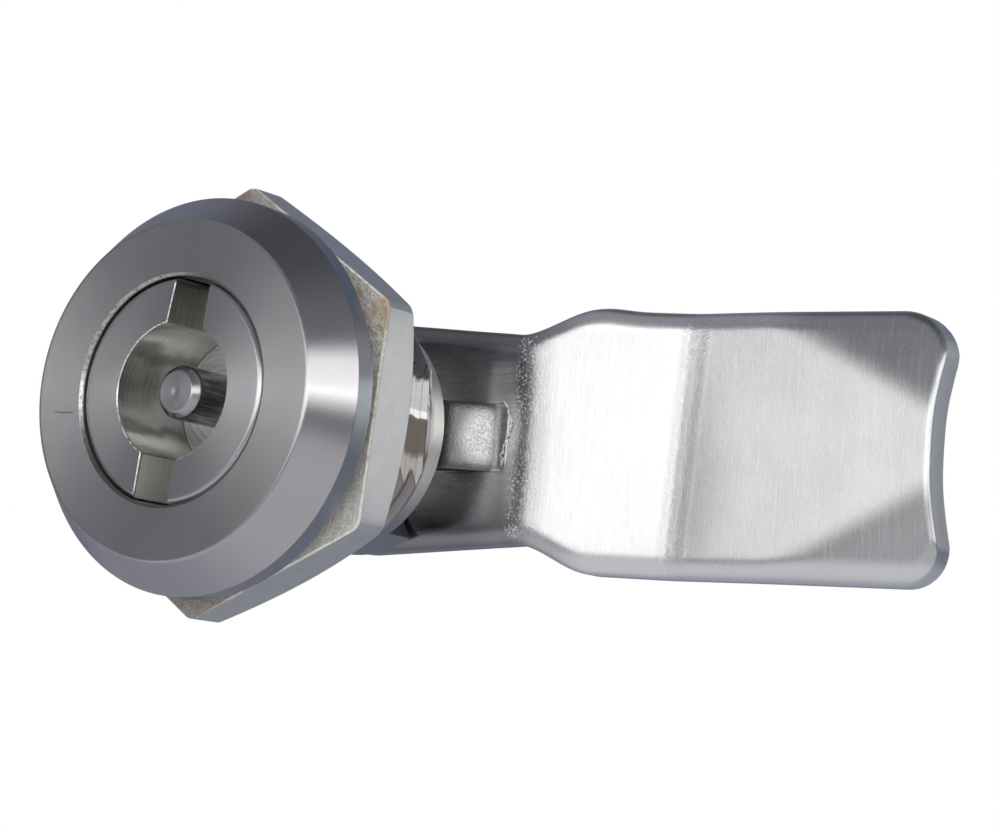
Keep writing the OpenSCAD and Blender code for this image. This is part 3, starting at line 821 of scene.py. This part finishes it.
def tabRise(x):  # from the root up, then level
    t = tab
    slope = t["rise"] / (t["bendX"] - t["flatX"])
    return slope * (softCorner(t["bendX"] - x, t["soft"]) - softCorner(t["flatX"] - x, t["soft"]))


def camSurface(x, z):
    c = cam
    crease = c["creaseX"] + c["creaseLean"] * z
    slope = c["step"] / (crease - c["bendX"])
    y = c["frontY"] + slope * softCorner(x - c["bendX"], c["bendSoft"])
    groove = c["groove"] * math.exp(-((x - crease) / c["grooveWidth"]) ** 2)
    y += groove - slope * softCorner(x - crease, c["creaseSoft"])
    y += c["swell"] * math.exp(-((x - c["swellX"]) / c["swellWidth"]) ** 2)
    if x > tab["rootX"] - 0.01:
        y -= tabRise(x) * max(1 - (z / (tab["half"] + 0.1)) ** 8, 0)
    rampX = camReach - c["rampLen"]
    turn = math.atan2(c["headHalf"] - c["rampGap"], c["rampLen"])
    beyond = (x - rampX) * math.sin(turn) + (abs(z) - c["headHalf"]) * math.cos(turn)
    return y + math.tan(math.radians(c["rampSlope"])) * softCorner(beyond, c["rampSoft"])


def rollDrop(share, depth):  # how far a rolled edge falls away; share is one at the very edge
    share = min(max(share, 0), 1)
    return depth * (1 - math.sqrt(1 - share * share))


def edgeRoll(x, z):  # wide rolls along the sides, a small one at the tip
    c = cam
    r = tipRadius(z > 0)
    past, out = x - (camReach - r), abs(z) - (c["headHalf"] - r)
    if past <= 0:
        atTip = 0.0
    else:
        atTip = 1.0 if out <= 0 else math.atan2(past, out) / (math.pi / 2)
    side = c["upperRoll"] if z > 0 else c["sideRoll"]
    width = side + (c["tipRoll"] - side) * atTip
    depth = c["sideDrop"] + (c["tipDrop"] - c["sideDrop"]) * atTip
    return rollDrop(1 - camEdgeDistance(x, z) / width, depth)


def spread(start, end, count):
    return [start + (end - start) * i / count for i in range(count + 1)]


def camStations():
    c = cam
    nearEdge = [0, 0.01, 0.03, 0.07, 0.13, 0.2, 0.29, 0.4, 0.5, 0.7, 1.0]
    root = [-c["rootR"] * math.cos(math.radians(a)) for a in spread(3, 87, 28)]
    middle = spread(0, c["windowStart"], 10) + spread(c["windowStart"], c["windowEnd"], 9)[1:]
    bends = spread(c["windowEnd"], c["creaseX"] - 1.3, 50)[1:]
    bends += spread(c["creaseX"] - 1.3, c["creaseX"] + 1.3, 30)[1:]
    head = spread(c["creaseX"] + 1.3, camReach - 1.5, 44)[1:]
    return root + middle + bends + head + [camReach - d for d in reversed(nearEdge)]


def camRow(x):
    c = cam
    inner = min(c["windowHalf"], 0.4 * camHalf(x))
    count = c["outerRows"]

    def outward(half):
        return [inner + (half - inner) * math.sin(math.pi / 2 * k / count) for k in range(1, count + 1)]

    lower = [-v for v in reversed(outward(camHalf(x)))]
    return lower + spread(-inner, inner, c["innerRows"]) + outward(camHalf(x, True))


def camPlate():
    c = cam
    stations = camStations()
    front, back = [], []
    for x in stations:
        tipShare = min(max((x - camReach + 6) / 6, 0), 1) ** 2
        for z in camRow(x):
            backEdge = rollDrop(1 - camEdgeDistance(x, z) / c["backRoll"], c["backRoll"])
            hollow = c["hollow"] * max(1 - (z / (c["headHalf"] - c["tipR"])) ** 2, 0) * tipShare
            y = camSurface(x, z)
            tilt = (camSurface(x + 0.05, z) - camSurface(x - 0.05, z)) / 0.1
            front.append((x - hollow, y + edgeRoll(x, z), z))
            back.append((x - hollow, y + c["t"] * math.hypot(1, tilt) - backEdge, z))
    rows = len(camRow(0))
    total = len(front)
    middle = c["outerRows"]

    def inWindow(i, j):  # cells of the lanced window
        inX = c["windowStart"] - 1e-6 < stations[i] and stations[i + 1] < c["windowEnd"] + 1e-6
        return inX and middle <= j < middle + c["innerRows"]

    faces = []
    last = len(stations) - 1
    for i in range(last):
        for j in range(rows - 1):
            if inWindow(i, j):
                continue
            a, b = i * rows + j, (i + 1) * rows + j
            faces += [(a, b, b + 1, a + 1), (total + a, total + a + 1, total + b + 1, total + b)]
            for beside, p, q in (((i, j - 1), a, b), ((i, j + 1), a + 1, b + 1),
                                 ((i - 1, j), a, a + 1), ((i + 1, j), b, b + 1)):
                atEdge = beside[0] in (-1, last) or beside[1] in (-1, rows - 1)
                if atEdge or inWindow(*beside):
                    faces.append((p, q, total + q, total + p))
    return front + back, faces


def tabSection(x):
    c, t = cam, tab
    rise = tabRise(x)
    sunk = 0.6 * min(max((x - t["rootX"] - 0.2) / 0.8, 0), 1) ** 2  # the root dives into the plate
    front, back = [], []
    for k in range(-16, 17):
        z = t["half"] * math.sin(math.pi / 2 * k / 16)
        toSide = max(1 - (t["half"] - abs(z)) / t["sideRoll"], 0)
        toEnd = max(1 - (x - t["endX"]) / t["endRoll"], 0)
        front.append((x, c["frontY"] - rise + sunk + rollDrop(math.hypot(toSide, toEnd), t["sideDrop"]), z))
        back.append((x, c["frontY"] - rise + 0.9 * c["t"], z))
    return front + back[::-1]


def tabSkin():
    t = tab
    nearEnd = [t["endX"] + d for d in (0, 0.01, 0.04, 0.09, 0.16, 0.26, 0.4, 0.6)]
    return loft([tabSection(x) for x in nearEnd + spread(t["endX"] + 0.8, t["rootX"] + 1.0, 40)])


tornRootPath = [
    (11.92, 18.88, 2.66), (12.3, 18.88, 1.77), (12.64, 18.87, 0.96), (12.38, 18.88, 0.15),
    (12.09, 18.88, -0.51), (11.91, 18.88, -1.32), (11.91, 18.88, -2.13)]
tornSidePath = [(12.38, 18.88, 0.3), (12.0, 18.88, -0.7), (12.2, 18.88, -1.5), (11.85, 18.88, -2.3)]
tornRoot = burr(tornRootPath, 0.13, 1)
tornSide = burr(tornSidePath, 0.08, 9)
addPiece("lockCam", joinSkins([camPlate(), tabSkin()]), "turning_set", "cam",
         stampedFinish, cam["sharpAngle"], torn=joinSkins([tornRoot, tornSide]))
print("cam")


# Pieces that keep their CAD shape get a finish; the fasteners also get a fine edge
platedFinish = platedSteel("plated steel", platedLook)
fasteners = {"flat_washer": 0.12, "spring_washer": 0.1, "cam_bolt": 0.15}
for node, width in fasteners.items():
    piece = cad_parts[node]
    piece.data.materials.clear()
    piece.data.materials.append(platedFinish)
    edge = piece.modifiers.new("edge", "BEVEL")
    edge.width = width * mm
    edge.segments = 2
    edge.limit_method = "ANGLE"
    edge.angle_limit = math.radians(40)
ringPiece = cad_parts["driver_o_ring"]
ringPiece.data.materials.clear()
ringPiece.data.materials.append(sealRubber("seal rubber", rubberLook))
print("fasteners")


# Camera, worked out from the flange's circles in the photograph
view = {
    "azimuth": 34.26, "elevation": -7.11, "roll": 4.52, "distance": 205.0, "target": (19.19, 7.65, -0.1),
    "focalPixels": 3000.0, "imageWidth": 1000.0, "sensor": 36.0,
}
azimuth, elevation = math.radians(view["azimuth"]), math.radians(view["elevation"])
level = math.cos(elevation)
toCamera = Vector((math.sin(azimuth) * level, -math.cos(azimuth) * level, math.sin(elevation)))
turn = toCamera.to_track_quat("Z", "Y").to_matrix() @ Matrix.Rotation(math.radians(view["roll"]), 3, "Z")
cameraData = bpy.data.cameras.new("camera")
cameraData.sensor_width = view["sensor"]
cameraData.sensor_fit = "HORIZONTAL"
cameraData.lens = view["focalPixels"] / view["imageWidth"] * view["sensor"]
cameraData.clip_start = 0.01
camera = bpy.data.objects.new("camera", cameraData)
eye = Vector(view["target"]) + toCamera * view["distance"]
camera.matrix_world = Matrix.Translation(eye * mm) @ turn.to_4x4()
scene.collection.objects.link(camera)
scene.camera = camera


# Studio: a pale floor, a wide soft lamp over it, and a backdrop that the steel reflects
studio = {
    "floorZ": -60.0, "floorR": 260.0, "floorPale": (0.9, 0.9, 0.9, 1), "floorGrey": (0.86, 0.86, 0.86, 1),
    "domeR": 1500.0, "lampPower": 2.2, "lampSize": 0.5, "lampPlace": (0.05, -0.1, 0.55), "worldFill": 0.6,
    "stripLevel": 3.0, "softBox": (1.0, 1.0, 0.99, 1), "table": (0.55, 0.55, 0.57, 1),
    "below": (0.31, 0.32, 0.37, 1), "deepBelow": (0.34, 0.35, 0.4, 1), "far": (0.19, 0.21, 0.27, 1),
    "farGlow": (0.42, 0.42, 0.46, 1), "near": (0.17, 0.17, 0.18, 1), "nearHigh": (0.19, 0.19, 0.215, 1),
    "ceiling": (0.08, 0.08, 0.085, 1), "upper": (0.235, 0.235, 0.26, 1),
}


def floorFinish():
    finish, shop = newFinish("pale floor")
    x, y, z = shop.place()
    away = (x * x + y * y) ** 0.5
    speck = shop.grain(shop.vector(x, y, z), 0.4, 2)
    shader = shop.node("ShaderNodeBsdfPrincipled", sockets={
        "Base Color": shop.blend(speck, studio["floorGrey"], studio["floorPale"]), "Roughness": 0.8,
        "Alpha": shop.ramp(away, studio["floorR"] * 0.55, studio["floorR"], 1, 0)})
    shop.node("ShaderNodeOutputMaterial", sockets={"Surface": shader})
    return finish


def backdropFinish():
    s = studio
    finish, shop = newFinish("studio backdrop")
    x, y, z = shop.place()
    length = (x * x + y * y + z * z) ** 0.5
    around = shop.math("ARCTAN2", x, -1 * y) * inDegrees  # degrees from the key's side, to the right
    up = shop.math("ARCSINE", z / length) * inDegrees
    middle = 6 + shop.ramp(around, 20, 70, 0, 8)
    tall = shop.ramp(around, -10, 10)
    band = 1 - shop.ramp(shop.math("ABSOLUTE", up - middle), 6 + 2 * tall, 13 + 6 * tall)  # long soft boxes
    band = band * shop.ramp(around, -36, -32) * (1 - shop.ramp(around, 150, 178))
    level = shop.ramp(around, -12, 3, 1.2, 1.66) - shop.ramp(around, 20, 60, 0, 0.21)
    level = level - shop.ramp(around, 85, 122, 0, 1.15) + shop.within(around, 141, 147, 6) * 0.34
    behind = shop.ramp(y / length, -0.2, 0.6)
    facing = shop.ramp((x * 0.5 - y * 0.85) / length, -0.4, 0.3)
    below = shop.blend(shop.ramp(up, -28, -50), s["below"], s["deepBelow"])
    table = shop.blend(facing, below, s["table"])
    far = shop.blend(shop.within(up, 3, 11, 4), s["far"], s["farGlow"])
    near = shop.blend(shop.ramp(up, 16, 26), s["near"], s["nearHigh"])
    shade = shop.blend(behind, near, far)
    shade = shop.blend(shop.ramp(up, 40, 78), shade, s["ceiling"])
    upper = shop.within(up, 42, 68, 9) * shop.within(around, -80, 25, 20)
    shade = shop.blend(upper, shade, s["upper"])
    shade = shop.blend(shop.ramp(up, -22, -6), table, shade)
    colour = shop.blend(band, shade, s["softBox"])
    thin = (1 - shop.ramp(shop.math("ABSOLUTE", up - 7.2), 0.2, 0.8)) * shop.ramp(around, -37, -33)
    thin = thin * (1 - shop.ramp(around, 90, 110))
    shader = shop.node("ShaderNodeEmission", sockets={
        "Color": colour, "Strength": 1 + band * (level - 1) + thin * s["stripLevel"]})
    shop.node("ShaderNodeOutputMaterial", sockets={"Surface": shader})
    return finish


def addStage(name, work, finish):
    mesh = bpy.data.meshes.new(name)
    work.to_mesh(mesh)
    work.free()
    mesh.materials.append(finish)
    stagePiece = bpy.data.objects.new(name, mesh)
    scene.collection.objects.link(stagePiece)
    return stagePiece


work = bmesh.new()
bmesh.ops.create_circle(work, cap_ends=True, segments=96, radius=studio["floorR"] * mm)
floor = addStage("floor", work, floorFinish())
floor.location.z = studio["floorZ"] * mm
floor.visible_glossy = False

work = bmesh.new()
bmesh.ops.create_uvsphere(work, u_segments=48, v_segments=24, radius=studio["domeR"] * mm)
bmesh.ops.reverse_faces(work, faces=work.faces)
backdrop = addStage("backdrop", work, backdropFinish())
backdrop.visible_camera = False
backdrop.visible_diffuse = False
backdrop.visible_shadow = False

lampData = bpy.data.lights.new("overhead lamp", "AREA")
lampData.shape = "DISK"
lampData.size = studio["lampSize"]
lampData.energy = studio["lampPower"]
lamp = bpy.data.objects.new("overhead lamp", lampData)
lamp.location = studio["lampPlace"]
lamp.rotation_euler = Vector(studio["lampPlace"]).to_track_quat("Z", "Y").to_euler()
lamp.visible_glossy = False
scene.collection.objects.link(lamp)

world = bpy.data.worlds.new("studio")
world.use_nodes = True
scene.world = world
shop = Shop(world.node_tree)
rays = shop.node("ShaderNodeLightPath").socket.node.outputs
seen = shop.math("MAXIMUM", Tap(shop, rays["Is Camera Ray"]), Tap(shop, rays["Is Glossy Ray"]))
seen = shop.math("MAXIMUM", seen, Tap(shop, rays["Is Transmission Ray"]))
fill = studio["worldFill"]
sky = shop.node("ShaderNodeBackground", sockets={"Color": (1, 1, 1, 1), "Strength": fill + seen * (1 - fill)})
shop.node("ShaderNodeOutputWorld", sockets={"Surface": sky})
print("studio")
